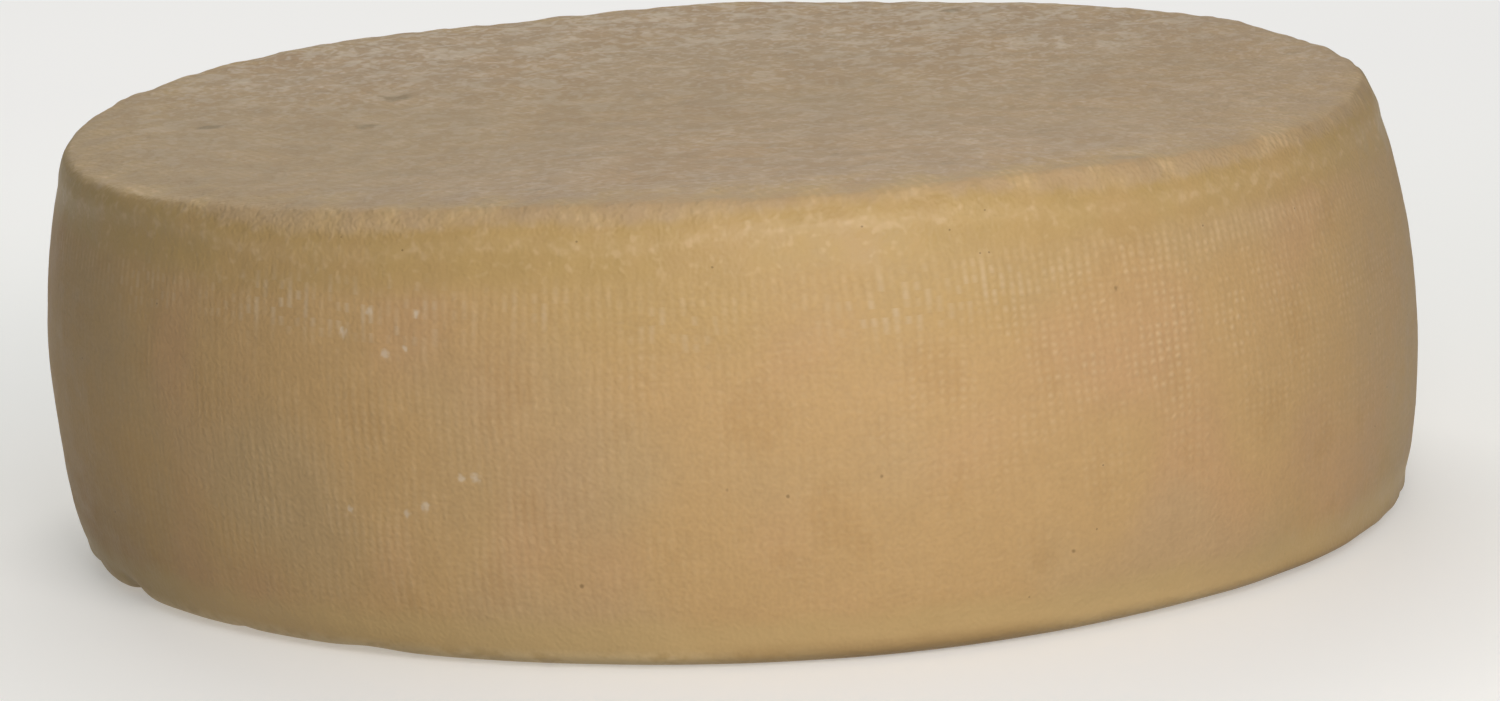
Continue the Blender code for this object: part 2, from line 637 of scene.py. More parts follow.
    def side_stretch(self) -> tuple[float, float, float]:
        """Where the side's strips start and end along the outline, and its whole length."""
        barrel = self.barrel
        ends = np.array([barrel.height - barrel.shoulder_height / 4, barrel.foot_height / 3])
        start, end = self.distance_down(barrel.even_radius(ends), ends)
        return float(start), float(end), float(self.outline_line()[1][-1])

    # The uneven shape

    def press_uneven(self, piece: bpy.types.Object) -> None:
        """Move the blank's points from the even barrel to the slumped wheel."""
        barrel = self.barrel
        places = points_of(piece.data)
        radius, angle = polar(places)
        height = np.clip(places[:, 2], 0.0, barrel.height)
        across = radius / barrel.even_radius(height)
        radius = across * barrel.side_radius(height, angle)
        lift = waves(angle, barrel.top_edge) * across - barrel.top_sag * (1.0 - across**2)
        up = height / barrel.height
        places[:, 0] = radius * np.cos(angle) + barrel.top_shift * up
        places[:, 1] = radius * np.sin(angle)
        places[:, 2] = height + lift * up
        middle = (places.min(0) + places.max(0)) / 2
        places[:, :2] -= middle[:2]
        move_points(piece.data, places)

    def soften_rim(self, piece: bpy.types.Object) -> None:
        """Roll the top's rim over gently, where the blank has a sharp corner."""
        barrel = self.barrel
        places = points_of(piece.data)
        radius, angle = polar(places)
        across = radius / (barrel.width / 2 - barrel.top_draw_in)
        high = soft_step(barrel.height - 0.010, barrel.height - 0.002, places[:, 2])
        rolled = np.clip((across - self.rim_start) / (1.0 - self.rim_start), 0.0, 1.0)
        corner = self.high_corner.over(angle, self.high_corner.height, barrel.width / 2)
        lift = self.rim_lift - self.rim_drop * rolled**2 - corner * rolled
        places[:, 2] += lift * high
        move_points(piece.data, places)
        rim = high * soft_step(0.90, 0.96, across)
        group = share_out(piece, "rim", rim)
        soften = piece.modifiers.new("soften", "SMOOTH")
        soften.factor = 0.5
        soften.iterations = self.rim_rounds
        soften.vertex_group = group
        bpy.ops.object.modifier_apply(modifier=soften.name)

    def add_slumps(self, piece: bpy.types.Object) -> None:
        """Raise soft slumps, lumps and grain over all but the underside."""
        places = points_of(piece.data)
        height = self.barrel.height
        share_out(piece, "free", soft_step(0.0015, 0.010, places[:, 2]))
        share_out(piece, "crust", soft_step(height - 0.005, height - 0.001, places[:, 2]))
        for name, size, depth, group in self.swells:
            pattern = bpy.data.textures.new(name, "CLOUDS")
            pattern.noise_scale = size
            pattern.noise_depth = 1
            swell = piece.modifiers.new(name, "DISPLACE")
            swell.texture = pattern
            swell.texture_coords = "LOCAL"
            swell.strength = depth
            swell.mid_level = 0.5
            swell.vertex_group = group
            bpy.ops.object.modifier_apply(modifier=swell.name)
        piece.vertex_groups.clear()

    def add_creases(self, piece: bpy.types.Object) -> np.ndarray:
        """Press the shoulder's crease, the foot's lip and the dents into the rind.

        Args:
            piece: the uneven wheel.

        Returns:
            How far each point was pushed out.
        """
        mesh = piece.data
        places = points_of(mesh)
        girth = self.barrel.width / 2
        radius, angle = polar(places)
        height = places[:, 2]
        outer = soft_step(0.80, 0.92, radius / girth)
        ridge = line_around(angle, self.band_high) - self.ridge_below
        fading = 0.6 + 0.4 * waves(angle, ((2, 0.6, 0.7), (5, 0.5, 1.9)))
        push = self.ridge_rise * fading * hump(height - ridge, self.ridge_width)
        crease = height - ridge + self.crease_below_ridge
        push -= self.crease_depth * fading * hump(crease, self.crease_width)
        lip_fading = 0.7 + 0.3 * waves(angle, ((7, 0.5, 0.2), (23, 0.5, 1.4), (41, 0.3, 2.5)))
        push += self.lip_rise * lip_fading * hump(height - self.lip_height, self.lip_width)
        push -= self.groove_depth * hump(height - self.groove_height, self.groove_width)
        for dent in self.all_dents():
            push -= dent.over(angle, height, girth)
        push *= outer
        push += self.top_dimples(places)
        normals = numbers(mesh.vertex_normals, "vector", np.float32, 3)
        places += normals * push[:, None]
        places[:, 2] = np.maximum(places[:, 2], 0.0)
        move_points(mesh, places)
        return push

    def all_dents(self) -> list[Patch]:
        """The dents that are listed, and seeded ones on the rest of the side."""
        draw = np.random.default_rng(self.seed)
        on_side = self.more_dents.drawn(draw)
        return [*self.dents, *on_side, *self.more_foot_dents.drawn(draw)]

    def top_dimples(self, places: np.ndarray) -> np.ndarray:
        """Shallow dimples and bumps over the top face."""
        draw = np.random.default_rng(self.seed + 1)
        on_top = soft_step(self.barrel.height - 0.006, self.barrel.height - 0.003, places[:, 2])
        push = np.zeros(len(places))
        for _ in range(self.dimples):
            far = 0.95 * self.barrel.width / 2 * math.sqrt(draw.uniform(0.0, 1.0))
            bearing = draw.uniform(0.0, TURN)
            spot = (far * math.cos(bearing), far * math.sin(bearing))
            away = np.hypot(places[:, 0] - spot[0], places[:, 1] - spot[1])
            push += draw.uniform(*self.dimple_depths) * hump(away, draw.uniform(*self.dimple_widths))
        return push * on_top

    # The masks for the finish

    def add_masks(self, piece: bpy.types.Object, push: np.ndarray) -> None:
        """Store where the top, band, ridge, foot, cloth marks, rubs and hollows lie; the hollows' depth
        is painted as shade.

        Args:
            piece: the finished shape.
            push: how far each point was pushed out by creases and dents.
        """
        mesh = piece.data
        places = points_of(mesh)
        radius, angle = polar(places)
        height = places[:, 2]
        low = line_around(angle, self.band_low)
        high = line_around(angle, self.band_high)
        inner = soft_step(0.945, 0.88, radius / (self.barrel.width / 2))
        top = np.maximum(soft_step(-0.0034, 0.0030, height - high), inner * (height > self.foot_band))
        footprint = radius / self.barrel.even_radius(0.0)
        top = np.maximum(top, soft_step(0.0012, 0.0003, height) * soft_step(0.99, 0.93, footprint))
        band = soft_step(-0.0140, 0.0035, height - low)
        ridge = hump(height - high + self.ridge_below, 0.0016)
        foot = soft_step(self.foot_band + 0.006, self.foot_band - 0.007, height)
        cloth = 0.18 + self.patched(angle, height, self.cloth, self.more_cloth)
        rubbed = self.patched(angle, height, self.rubs, self.more_rubs)
        store_mask(mesh, Mark.TOP, top)
        store_mask(mesh, Mark.BAND, band)
        store_mask(mesh, Mark.RIDGE, ridge)
        store_mask(mesh, Mark.FOOT, foot)
        smooth = np.maximum(soft_step(0.5, 1.0, band) * 0.85, soft_step(0.2, 0.9, foot) * 0.75)
        store_mask(mesh, Mark.CLOTH, np.clip(cloth, 0.0, 1.2) * (1.0 - top) * (1.0 - smooth))
        store_mask(mesh, Mark.RUB, np.clip(rubbed, 0.0, 1.0))
        # How deep the dents and creases are, for the painted shade in them.
        store_mask(mesh, Mark.HOLLOW, np.clip(-push / MILLIMETRE, -1.0, 1.0))
        for mark, drift in self.drifts:
            store_mask(mesh, mark, drift.over(places))

    def patched(self, angle: np.ndarray, height: np.ndarray, patches: tuple[Patch, ...],
                more: Scatter) -> np.ndarray:
        """Add up the patches listed for the front and seeded ones round the back.

        Args:
            angle: the points' angles around the wheel.
            height: the points' heights.
            patches: the patches at the front.
            more: what the seeded patches are like.

        Returns:
            The patches' strength at each point.
        """
        draw = np.random.default_rng(self.seed + len(patches))
        found = list(patches)
        for turn in self.back_turns:
            found.extend(more.drawn(draw, turn))
        return sum(patch.over(angle, height, self.barrel.width / 2) for patch in found)


@dataclass(frozen=True)
class UnwrapSheet:
    """The sheet on which the rind is laid out: three side strips and two round faces."""

    width: float
    side_start: float
    side_end: float
    whole: float
    strips: int = 3
    gap: float = 0.004
    underside_scale: float = 0.52

    def spots(self, along: np.ndarray, face_along: np.ndarray, angle: np.ndarray,
              face_angle: np.ndarray) -> np.ndarray:
        """Place each face corner on the sheet.

        Args:
            along: distance over the surface from the top's middle to each corner.
            face_along: the same for the middle of each corner's face.
            angle: angle around the wheel of each corner.
            face_angle: the same for the middle of each corner's face.

        Returns:
            The corners' places on a square sheet that runs from 0 to 1.
        """
        strip_length = math.pi * self.width / self.strips
        strip_height = self.side_end - self.side_start
        strip = np.clip(((face_angle % TURN) / TURN * self.strips).astype(int), 0, self.strips - 1)
        start = strip * TURN / self.strips
        turned = face_angle % TURN - start + (angle - face_angle)
        across = self.gap + turned * self.width / 2
        up = self.gap + strip * (strip_height + self.gap) + along - self.side_start
        disc = self.side_start
        strips_top = self.gap + self.strips * (strip_height + self.gap)
        top_middle = (strip_length + 3 * self.gap + disc, self.gap + disc)
        under_radius = (self.whole - self.side_end) * self.underside_scale
        under_middle = (self.gap + under_radius, strips_top + self.gap + under_radius)
        below = (self.whole - along) * self.underside_scale
        on_top = face_along < self.side_start
        under = face_along > self.side_end
        u = np.where(on_top, top_middle[0] + along * np.cos(angle), across)
        v = np.where(on_top, top_middle[1] + along * np.sin(angle), up)
        u = np.where(under, under_middle[0] + below * np.cos(angle), u)
        v = np.where(under, under_middle[1] - below * np.sin(angle), v)
        sheet = max(top_middle[0] + disc + self.gap,
                    under_middle[1] + under_radius + self.gap)
        return np.stack([u, v], 1) / sheet


def numbers(items: bpy.types.bpy_prop_collection, name: str, kind: type, width: int = 1) -> np.ndarray:
    """Read one property of all items of a mesh.

    Args:
        items: the mesh's points, corners or faces.
        name: the property.
        kind: the kind of number.
        width: how many numbers the property has.

    Returns:
        The numbers, one row for each item if the property has more than one.
    """
    found = np.empty(len(items) * width, kind)
    items.foreach_get(name, found)
    return found.reshape(-1, width) if width > 1 else found


def points_of(mesh: bpy.types.Mesh) -> np.ndarray:
    """The places of a mesh's points, as doubles."""
    return numbers(mesh.vertices, "co", np.float32, 3).astype(float)


def move_points(mesh: bpy.types.Mesh, places: np.ndarray) -> None:
    """Move a mesh's points to new places."""
    mesh.vertices.foreach_set("co", places.astype(np.float32).ravel())
    mesh.update()


def share_out(piece: bpy.types.Object, name: str, shares: np.ndarray) -> str:
    """Give the piece's points their shares in a new group, for a modifier to follow.

    Args:
        piece: the piece.
        name: the group's name.
        shares: each point's share, from 0 to 1.

    Returns:
        The group's name.
    """
    group = piece.vertex_groups.new(name=name)
    rounded = np.round(shares, 2)
    for share in np.unique(rounded[rounded > 0.0]):
        group.add(np.flatnonzero(rounded == share).tolist(), float(share), "REPLACE")
    return name


def store_mask(mesh: bpy.types.Mesh, mark: Mark, values: np.ndarray) -> None:
    """Store one mask on a mesh, as a number for each of its points."""
    layer = mesh.attributes.new(mark.value, "FLOAT", "POINT")
    layer.data.foreach_set("value", values.astype(np.float32))


# ---------------------------------------------------------------- finish of the rind


class Value:
    """A number or vector that flows through a material, for use in Python expressions."""

    def __init__(self, recipe: Recipe, socket: bpy.types.NodeSocket) -> None:
        """Wrap an output socket of a recipe's node."""
        self.recipe = recipe
        self.socket = socket

    def math(self, operation: str, *others: Value | float, first: float | None = None) -> Value:
        """Add one Math node.

        Args:
            operation: the node's operation.
            others: the numbers after this one.
            first: a number to put before this one instead, for a reflected operator.

        Returns:
            The node's result.
        """
        parts = [self, *others] if first is None else [first, self]
        node = self.recipe.node("ShaderNodeMath", {"operation": operation},
                                dict(enumerate(parts)))
        return Value(self.recipe, node.outputs[0])

    def __add__(self, other: Value | float) -> Value:
        """This plus another."""
        return self.math("ADD", other)

    __radd__ = __add__

    def __sub__(self, other: Value | float) -> Value:
        """This less another."""
        return self.math("SUBTRACT", other)

    def __rsub__(self, other: float) -> Value:
        """A number less this."""
        return self.math("SUBTRACT", first=other)

    def __mul__(self, other: Value | float) -> Value:
        """This times another."""
        return self.math("MULTIPLY", other)

    __rmul__ = __mul__

    def __truediv__(self, other: Value | float) -> Value:
        """This over another."""
        return self.math("DIVIDE", other)

    def stripes(self) -> Value:
        """Soft stripes, one for each whole number: 1 on the number, 0 half way between."""
        return (self * TURN).math("COSINE") * 0.5 + 0.5

    def step(self, low: float, high: float) -> Value:
        """Rise smoothly from 0 at low to 1 at high."""
        node = self.recipe.node("ShaderNodeMapRange",
                                {"interpolation_type": "SMOOTHSTEP", "clamp": True},
                                {"Value": self, "From Min": low, "From Max": high})
        return Value(self.recipe, node.outputs[0])


class Recipe:
    """A material being put together out of nodes."""

    def __init__(self, name: str) -> None:
        """Start a material with nothing but its surface shader."""
        self.material = bpy.data.materials.new(name)
        self.material.use_nodes = True
        self.tree = self.material.node_tree
        self.shader = self.tree.nodes["Principled BSDF"]
        place = self.node("ShaderNodeTexCoord", {}, {})
        self.place = Value(self, place.outputs["Object"])
        apart = self.node("ShaderNodeSeparateXYZ", {}, {0: self.place})
        self.x, self.y, self.z = (Value(self, socket) for socket in apart.outputs)
        self.from_axis = (self.x * self.x + self.y * self.y).math("SQRT")
        self.on_cylinder: Value | None = None

    def node(self, kind: str, settings: dict[str, object],
             feeds: dict[int | str, object]) -> bpy.types.Node:
        """Add one node.

        Args:
            kind: the node's type.
            settings: its own settings, which are set first.
            feeds: a value or a link for each socket, by the socket's number or name.

        Returns:
            The node.
        """
        node = self.tree.nodes.new(kind)
        for name, setting in settings.items():
            setattr(node, name, setting)
        for name, feed in feeds.items():
            self.feed(node.inputs[name], feed)
        return node

    def feed(self, socket: bpy.types.NodeSocket, feed: object) -> None:
        """Link a value to a socket, or set a plain number or colour on it."""
        if isinstance(feed, Value):
            self.tree.links.new(feed.socket, socket)
        elif isinstance(feed, tuple) and len(feed) == 3 and socket.type == "RGBA":
            socket.default_value = (*feed, 1.0)
        else:
            socket.default_value = feed

    def mask(self, mark: Mark) -> Value:
        """Read one of the masks that the mesh carries."""
        node = self.node("ShaderNodeAttribute", {"attribute_name": mark.value}, {})
        return Value(self, node.outputs["Fac"])

    def vector(self, x: Value | float, y: Value | float, z: Value | float = 0.0) -> Value:
        """Join three numbers to a vector."""
        node = self.node("ShaderNodeCombineXYZ", {}, {0: x, 1: y, 2: z})
        return Value(self, node.outputs[0])

    def noise(self, size: float, detail: float = 2.0, rough: float = 0.5,
              at: Value | None = None) -> Value:
        """Smooth noise between 0 and 1.

        Args:
            size: how far apart its blotches are.
            detail: how many finer layers it has.
            rough: how strong the finer layers are.
            at: where it is read, or nothing for the piece's own space.

        Returns:
            The noise.
        """
        node = self.node("ShaderNodeTexNoise", {},
                         {"Vector": at or self.place, "Scale": 1.0 / size,
                          "Detail": detail, "Roughness": rough})
        return Value(self, node.outputs["Fac"])

    def blend(self, share: Value | float, one: Value | tuple, other: Value | tuple,
              how: str = "MIX") -> Value:
        """Blend two colours.

        Args:
            share: how much of the other colour there is.
            one: the colour at a share of 0.
            other: the colour at a share of 1.
            how: the way of blending.

        Returns:
            The blended colour.
        """
        node = self.node("ShaderNodeMix", {"data_type": "RGBA", "blend_type": how},
                         {0: share, 6: one, 7: other})
        return Value(self, node.outputs[2])

    def tint(self, colour: Value, shade: Value) -> Value:
        """Make a colour lighter or darker by a factor."""
        node = self.node("ShaderNodeVectorMath", {"operation": "SCALE"}, {0: colour, "Scale": shade})
        return Value(self, node.outputs[0])

    def outward(self, girth: float) -> Value:
        """The point on the plain cylinder of a radius that is nearest to each point."""
        if self.on_cylinder is None:
            far = self.from_axis.math("MAXIMUM", girth / 10.0)
            self.on_cylinder = self.vector(self.x * girth / far, self.y * girth / far, self.z)
        return self.on_cylinder

    def nearest(self, at: Value, marks: list[tuple[tuple[float, float, float], float]]) -> Value:
        """Distance to the nearest of some round marks.

        Args:
            at: where each point lies.
            marks: each mark's middle and its radius.

        Returns:
            The distance from the nearest mark's middle, in that mark's radii.
        """
        found = None
        for middle, radius in marks:
            away = self.node("ShaderNodeVectorMath", {"operation": "DISTANCE"}, {0: at, 1: middle})
            radii = Value(self, away.outputs["Value"]) * (1.0 / radius)
            found = radii if found is None else found.math("MINIMUM", radii)
        return found

    def bump(self, height: Value) -> Value:
        """Turn a height in metres into a bent normal."""
        node = self.node("ShaderNodeBump", {}, {"Strength": 1.0, "Distance": 1.0, "Height": height})
        return Value(self, node.outputs["Normal"])

    def end_in(self, shader: bpy.types.Node) -> bpy.types.Material:
        """Put a shader in the place of the one that the material started with."""
        self.tree.nodes.remove(self.shader)
        self.feed(self.tree.nodes["Material Output"].inputs["Surface"], Value(self, shader.outputs[0]))
        return self.material


Colour = tuple[float, float, float]


@dataclass(frozen=True)
class Fleck:
    """A small mark on the side: its place and its size."""

    turn_from_front: float
    height: float
    size: float


@dataclass(frozen=True)
class Stain:
    """A dark stain on the top: its place and its size."""

    x: float
    y: float
    size: float


@dataclass(frozen=True)
class ClothMarks:
    """Marks of the press cloth on the side, each from 0 to 1."""

    nubs: Value
    threads: Value
    combed: Value
    rubs: Value
    shaded_pores: Value


@dataclass(frozen=True)
class RindFinish:
    """The rind: dry and waxy, golden on the side and greyer on top, with cloth marks, and with painted
    shade and highlights in its colour.
    """

    side: Colour = (0.564, 0.365, 0.164)
    side_pink: Colour = (0.574, 0.350, 0.179)
    # The grey also paints sheen at the right edge, and the deep tan also paints shade at the left edge
    # and low on the foot.
    side_grey_and_sheen: Colour = (0.505, 0.365, 0.200)
    side_deep_and_shade: Colour = (0.480, 0.290, 0.115)
    nub: Colour = (0.700, 0.510, 0.290)
    band: Colour = (0.514, 0.349, 0.134)
    top: Colour = (0.500, 0.346, 0.203)
    top_tan: Colour = (0.492, 0.321, 0.170)
    top_pit: Colour = (0.330, 0.225, 0.115)
    top_bloom: Colour = (0.700, 0.590, 0.450)
    rim: Colour = (0.495, 0.349, 0.184)
    foot: Colour = (0.595, 0.420, 0.190)
    # The lip's colour is a painted highlight.
    lip: Colour = (0.740, 0.560, 0.310)
    rub: Colour = (0.640, 0.500, 0.330)
    flake: Colour = (0.780, 0.680, 0.540)
    # The pinholes' colour is painted shade inside the holes.
    pinhole_shade: Colour = (0.190, 0.120, 0.045)
    stain: Colour = (0.180, 0.140, 0.060)
    threads_around: int = 445
    thread_rise: float = 0.00188
    top_thread: float = 0.0024
    top_cloth_turn: float = math.radians(32.0)
    pore_luck: float = 0.9975
    band_strength: float = 0.85
    ridge_strength: float = 0.36
    rub_strength: float = 0.52
    flake_strength: float = 0.47
    # Strength of the painted shade in pinholes
    pinhole_shade_strength: float = 0.60
    stain_strength: float = 0.45
    foot_strength: float = 0.65
    # Strength and heights of the painted highlight on the lip, and of the painted shade low on the foot
    lip_highlight_strength: float = 0.65
    foot_edge_shade_strength: float = 0.50
    lip_highlight_heights: Limits = (0.0055, 0.0025)
    foot_edge_shade_heights: Limits = (0.0075, 0.0010)
    hollow_shade: float = 0.25
    corner_shade: float = 0.26
    nub_height: float = 0.00011
    thread_height: float = 0.00006
    side_roughness: float = 0.58
    refraction: float = 1.42
    gloss: float = 0.42
    flakes: tuple[Fleck, ...] = (
        Fleck(-31.6, 0.0742, 0.0013), Fleck(-27.7, 0.0700, 0.0012), Fleck(-26.0, 0.0715, 0.0008),
        Fleck(-29.2, 0.0790, 0.0010), Fleck(-25.0, 0.0790, 0.0009), Fleck(-21.6, 0.0435, 0.0011),
        Fleck(-20.4, 0.0440, 0.0013), Fleck(-24.8, 0.0370, 0.0013), Fleck(-26.4, 0.0350, 0.0009),
        Fleck(-31.5, 0.0350, 0.0009),
    )
    # Pinholes, painted dark as shade inside them.
    shaded_pinholes: tuple[Fleck, ...] = (
        Fleck(-12.5, 0.0200, 0.0006), Fleck(-1.0, 0.0410, 0.0005), Fleck(3.5, 0.0390, 0.0005),
        Fleck(10.6, 0.0420, 0.0005), Fleck(31.0, 0.0760, 0.0006), Fleck(26.0, 0.0200, 0.0006),
    )
    stains: tuple[Stain, ...] = (
        Stain(-0.081, 0.025, 0.0050), Stain(-0.124, -0.003, 0.0032), Stain(-0.085, -0.012, 0.0030),
        Stain(0.061, 0.118, 0.0034),
    )

    def build(self, girth: float) -> bpy.types.Material:
        """Put the material together.

        Args:
            girth: the wheel's radius, for patterns that run around it.

        Returns:
            The material.
        """
        recipe = Recipe("rind")
        cloudy = Clouds.of(recipe)
        angle = recipe.y.math("ARCTAN2", recipe.x)
        weave = self.top_cloth(recipe, cloudy)
        strayed = (cloudy.small - 0.5) * 0.8 + (cloudy.speck - 0.5) * 0.4 + (weave - 0.3) * 0.12
        top = (recipe.mask(Mark.TOP) + strayed).step(0.16, 0.88)
        side = 1.0 - top
        band = (recipe.mask(Mark.BAND) + (cloudy.middling - 0.5) * 0.7).step(0.50, 1.00)
        foot = (recipe.mask(Mark.FOOT) + (cloudy.middling - 0.5) * 0.7).step(0.20, 0.90)
        cloth = self.side_cloth(recipe, cloudy, angle)
        fringe = recipe.mask(Mark.BAND).step(0.0, 0.35) * (1.0 - band)
        threads = cloth.threads + cloth.combed * fringe * 0.75
        rubs = cloth.rubs * side
        ridge = recipe.mask(Mark.RIDGE) * (0.30 + cloudy.speck.step(0.40, 0.66) * 0.70)
        colour = self.side_colour(recipe, cloudy, cloth.nubs, threads)
        colour = recipe.blend(band * self.band_strength, colour, self.band_colour(recipe, cloudy))
        colour = recipe.blend(ridge * self.ridge_strength, colour, self.nub)
        colour = recipe.blend(rubs * self.rub_strength, colour, self.rub)
        flakes = self.flecks(recipe, cloudy, self.flakes, girth)
        colour = recipe.blend(flakes * self.flake_strength, colour, self.flake)
        # Painted shade: pinholes and rare pores of the cloth turn dark, with no dent in the bump.
        shaded_pinholes = self.flecks(recipe, cloudy, self.shaded_pinholes, girth).math("MAXIMUM", cloth.shaded_pores * side)
        colour = recipe.blend(shaded_pinholes * self.pinhole_shade_strength, colour, self.pinhole_shade)
        colour = recipe.blend(foot * self.foot_strength, colour, self.foot)
        # Painted highlight: a pale line along the foot's lip at the left and the front, where it catches
        # the light.
        lit_lip_side = (0.60 - recipe.x * 5.0 + (cloudy.wide - 0.5) * 2.0).step(0.10, 0.90) * side
        lip = recipe.z.step(*self.lip_highlight_heights) * cloudy.small.step(0.34, 0.56) * lit_lip_side
        colour = recipe.blend(lip * self.lip_highlight_strength, colour, self.lip)
        # Painted shade: darker low on the foot, round the side where the lip is not lit.
        foot_edge_shade = recipe.z.step(*self.foot_edge_shade_heights) * (1.0 - lit_lip_side) * side
        colour = recipe.blend(foot_edge_shade * self.foot_edge_shade_strength, colour, self.side_deep_and_shade)
        # Painted shade: darker low at the left, joined with the shade low on the foot.
        left_foot_shade = recipe.x.step(-0.112, -0.155) * recipe.z.step(0.045, 0.004)
        corner = left_foot_shade.math("MAXIMUM", foot_edge_shade)
        colour = recipe.blend(top, colour, self.top_colour(recipe, cloudy, weave))
        # Painted shade: darker in dents and creases, and at the low places marked above.
        shaded_hollow = recipe.mask(Mark.HOLLOW).step(0.3, 1.6)
        shade = 1.0 - shaded_hollow * self.hollow_shade - corner * self.corner_shade
        recipe.feed(recipe.shader.inputs["Base Color"], recipe.tint(colour, shade))
        rough = self.side_roughness + top * 0.16 - band * side * 0.10 - foot * side * 0.06 + rubs * 0.12
        rough = rough + (cloudy.small - 0.5) * 0.25
        recipe.feed(recipe.shader.inputs["Roughness"], rough)
        height = cloth.nubs * self.nub_height + cloth.threads * self.thread_height
        height = height + self.grain(cloudy, recipe.mask(Mark.TOP))
        recipe.feed(recipe.shader.inputs["Normal"], recipe.bump(height))
        recipe.shader.inputs["IOR"].default_value = self.refraction
        recipe.shader.inputs["Specular IOR Level"].default_value = self.gloss
        return recipe.material

    def side_cloth(self, recipe: Recipe, cloudy: Clouds, angle: Value) -> ClothMarks:
        """What the press cloth left round the side.

        Args:
            recipe: the material.
            cloudy: its clouds.
            angle: the angle around the wheel.

        Returns:
            The marks.
        """
        wander = (cloudy.middling - 0.5) * 0.7 + (cloudy.small - 0.5) * 0.35
        across = angle * (self.threads_around / TURN) + (cloudy.broad - 0.5) * 2.2 + wander
        up = recipe.z / self.thread_rise + (cloudy.wide - 0.5) * 2.6 - wander
        upright = across.stripes()
        crossing = upright * up.stripes()
        cell = recipe.vector(across.math("ROUND"), up.math("ROUND"))
        drawn = recipe.node("ShaderNodeTexWhiteNoise", {"noise_dimensions": "2D"}, {"Vector": cell})
        luck = Value(recipe, drawn.outputs["Value"])
        depth = recipe.mask(Mark.CLOTH) * (0.22 + cloudy.middling.step(0.36, 0.60) * 0.78)
        dragged = (recipe.x * -6.0 + cloudy.wide).step(0.25, 0.85)
        nubs = crossing * (0.10 + luck * 0.90) * depth * (1.0 - dragged * 0.70)
        threads = (upright * (0.45 + luck * 0.35) + crossing * 0.20) * (0.35 + dragged * 0.65) * depth
        return ClothMarks(
            nubs=nubs,
            threads=threads,
            combed=upright * (0.30 + luck * 0.70) * cloudy.small.step(0.30, 0.60),
            rubs=upright * luck.step(0.35, 0.95) * recipe.mask(Mark.RUB),
            # Rare pores where threads cross, later painted dark as shade.
            shaded_pores=crossing.step(0.78, 0.97) * luck.math("GREATER_THAN", self.pore_luck),
        )

    def top_cloth(self, recipe: Recipe, cloudy: Clouds) -> Value:
        """The faint grid that the cloth left straight across the top."""
        cosine, sine = math.cos(self.top_cloth_turn), math.sin(self.top_cloth_turn)
        drift = (cloudy.broad - 0.5) * 2.0
        one = (recipe.x * cosine + recipe.y * sine) / self.top_thread + drift
        other = (recipe.y * cosine - recipe.x * sine) / self.top_thread + drift
        worn = cloudy.middling.step(0.40, 0.60)
        return (one.stripes() * 0.65 + other.stripes() * 0.35) * (0.15 + worn * 0.85)

    def side_colour(self, recipe: Recipe, cloudy: Clouds, nubs: Value, threads: Value) -> Value:
        """Golden tan with pinkish, greyish and deeper clouds, paler on the cloth marks, with painted
        shade towards the left edge and painted sheen towards the right edge.

        Args:
            recipe: the material.
            cloudy: its clouds.
            nubs: the nubs that the cloth left.
            threads: the upright threads that it left.

        Returns:
            The colour.
        """
        colour = recipe.blend(cloudy.broad.step(0.46, 0.66) * 0.65, self.side, self.side_pink)
        colour = recipe.blend(cloudy.wide.step(0.48, 0.70) * 0.45, colour, self.side_grey_and_sheen)
        colour = recipe.blend(cloudy.middling.step(0.52, 0.74) * 0.35, colour, self.side_deep_and_shade)
        # Painted shade: darker towards the left edge. Painted sheen: greyer towards the right edge.
        colour = recipe.blend(recipe.x.step(-0.120, -0.168) * 0.55, colour, self.side_deep_and_shade)
        colour = recipe.blend(recipe.x.step(0.125, 0.168) * 0.40, colour, self.side_grey_and_sheen)
        yellowed = recipe.z.step(0.060, 0.084) * (recipe.x - 0.02).math("ABSOLUTE").step(0.100, 0.040)
        colour = recipe.blend(yellowed * 0.62, colour, self.band)
        colour = recipe.blend(nubs * 0.68, colour, self.nub)
        colour = recipe.blend(threads * 0.38, colour, self.nub)
        return recipe.tint(colour, 0.86 + cloudy.fine * 0.11 + cloudy.speck * 0.08 + cloudy.small * 0.09)

    def band_colour(self, recipe: Recipe, cloudy: Clouds) -> Value:
        """The smooth band over the shoulder, with a few pale specks."""
        colour = recipe.blend(cloudy.middling.step(0.35, 0.70) * 0.5, self.band, self.side)
        colour = recipe.blend(cloudy.speck.step(0.56, 0.76) * 0.40, colour, self.nub)
        return recipe.tint(colour, 0.92 + cloudy.small * 0.16)

